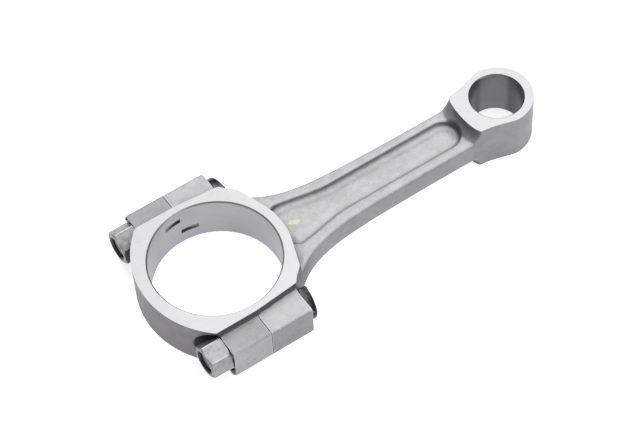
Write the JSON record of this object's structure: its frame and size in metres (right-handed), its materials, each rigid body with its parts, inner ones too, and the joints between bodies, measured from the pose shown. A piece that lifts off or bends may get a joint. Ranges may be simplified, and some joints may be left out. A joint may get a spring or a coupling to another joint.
{
  "type": "connecting rod",
  "caption": "Forged I-beam connecting rod with a plain small end and a big end split by a bolted cap.",
  "frame": {"origin": "under the middle of the bounding box, on the surface that the rod lies on", "axes": "+X from the big end to the small end, +Z along both bores, +Y to the side of the tang notches"},
  "size_m": [0.1954, 0.0854, 0.024],
  "materials": {
    "forged_steel": "shot-blasted forging, ground and bored where it mates",
    "black_oxide_steel": "oiled black oxide",
    "bright_steel": "bright turned"
  },
  "bodies": {
    "rod": {"rod_body": "forged_steel", "cap_bolt_left": "black_oxide_steel", "cap_bolt_right": "black_oxide_steel"},
    "cap": {"rod_cap": "forged_steel"},
    "nut_left": {"cap_nut_left": "bright_steel"},
    "nut_right": {"cap_nut_right": "bright_steel"}
  },
  "joints": [
    {"name": "cap_slide", "type": "slide", "parent": "rod", "child": "cap", "axis": [-1, 0, 0], "range_m": [0, 0.04]},
    {"name": "nut_left_turn", "type": "hinge", "parent": "cap", "child": "nut_left", "pos_m": [-0.08699, 0.0346, 0.012], "axis": [-1, 0, 0], "continuous": true},
    {"name": "nut_right_turn", "type": "hinge", "parent": "cap", "child": "nut_right", "pos_m": [-0.08699, -0.0346, 0.012], "axis": [-1, 0, 0], "continuous": true}
  ]
}
